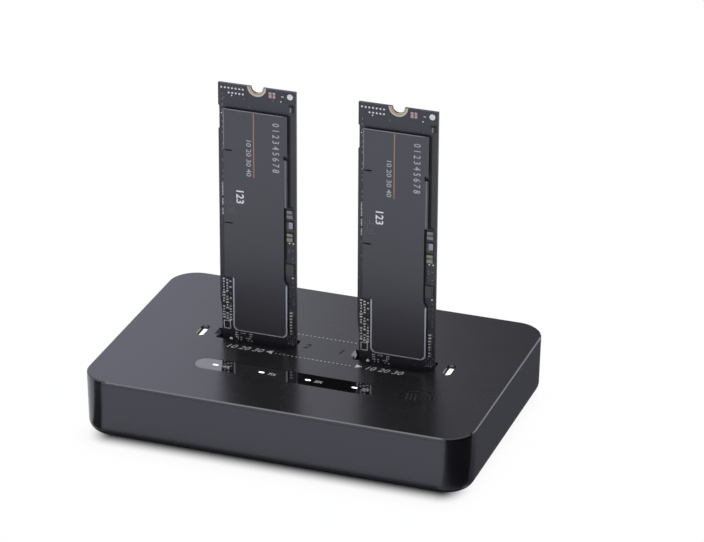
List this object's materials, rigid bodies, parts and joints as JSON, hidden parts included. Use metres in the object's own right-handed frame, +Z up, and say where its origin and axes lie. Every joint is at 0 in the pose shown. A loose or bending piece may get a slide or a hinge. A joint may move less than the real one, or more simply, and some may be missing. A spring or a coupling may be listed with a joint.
{
  "type": "drive duplicator dock",
  "caption": "Flat desktop dock that copies one upright plug-in memory card to another, with progress lights, a clone button, rear ports and removable cards.",
  "frame": {"origin": "on the table, under the middle of the housing", "axes": "+X to the right along the long side, +Y to the back with the ports, +Z up"},
  "size_m": [0.1092, 0.073, 0.0919],
  "materials": {
    "housing_plastic": "fine satin moulded plastic",
    "cover_plastic": "fine satin moulded plastic, a little smoother than the walls",
    "smoked_gloss": "polished smoked strip",
    "clear_light": "lit clear plastic",
    "lamp_white": "lamp chip",
    "foot_rubber": "soft black rubber",
    "screw_steel": "zinc-plated steel",
    "board_green": "printed board with solder mask",
    "part_black": "moulded black connector plastic",
    "plunger_plastic": "natural nylon",
    "port_steel": "nickel-plated steel",
    "contact_metal": "gold-plated contacts",
    "capacitor_tan": "moulded capacitor",
    "coil_grey": "ferrite",
    "chip_black": "moulded chip package",
    "card_board": "black solder mask",
    "card_label": "satin label sheet",
    "card_parts": "small ceramic parts"
  },
  "bodies": {
    "dock": {"lower_housing": "housing_plastic", "top_cover": "cover_plastic", "rubber_feet": "foot_rubber", "housing_screws": "screw_steel", "main_board": "board_green", "progress_window": "smoked_gloss", "progress_light_guide": "clear_light", "left_activity_light_guide": "clear_light", "right_activity_light_guide": "clear_light", "progress_lamps": "lamp_white", "activity_lamps": "lamp_white", "clone_switch": "part_black", "power_switch": "part_black", "usb_port_shell": "port_steel", "usb_port_tongue": "part_black", "power_jack_body": "part_black", "power_jack_pin": "contact_metal", "left_card_socket": "part_black", "right_card_socket": "part_black", "left_socket_contacts": "contact_metal", "right_socket_contacts": "contact_metal", "bulk_capacitors": "capacitor_tan", "copy_controller_chip": "chip_black", "firmware_chip": "chip_black", "power_manager_chips": "chip_black", "clock_crystal": "port_steel", "power_coils": "coil_grey"},
    "left_card": {"left_drive_board": "card_board", "left_drive_label": "card_label", "left_drive_memory_chips": "chip_black", "left_drive_controller_chip": "chip_black", "left_drive_small_parts": "card_parts"},
    "right_card": {"right_drive_board": "card_board", "right_drive_label": "card_label", "right_drive_memory_chips": "chip_black", "right_drive_controller_chip": "chip_black", "right_drive_small_parts": "card_parts"},
    "clone_press": {"clone_button": "cover_plastic", "clone_switch_plunger": "plunger_plastic"},
    "power_press": {"power_button": "cover_plastic", "power_switch_plunger": "plunger_plastic"}
  },
  "joints": [
    {"name": "left_card_lift", "type": "slide", "parent": "dock", "child": "left_card", "axis": [0, 0, 1], "range_m": [0, 0.03]},
    {"name": "right_card_lift", "type": "slide", "parent": "dock", "child": "right_card", "axis": [0, 0, 1], "range_m": [0, 0.03]},
    {"name": "clone_button_press", "type": "slide", "parent": "dock", "child": "clone_press", "axis": [0, 0, -1], "range_m": [0, 0.0006], "stiffness_N_per_m": 600, "springref_m": -0.0005},
    {"name": "power_button_press", "type": "slide", "parent": "dock", "child": "power_press", "axis": [0, -1, 0], "range_m": [0, 0.0015], "stiffness_N_per_m": 500, "springref_m": -0.0005}
  ]
}
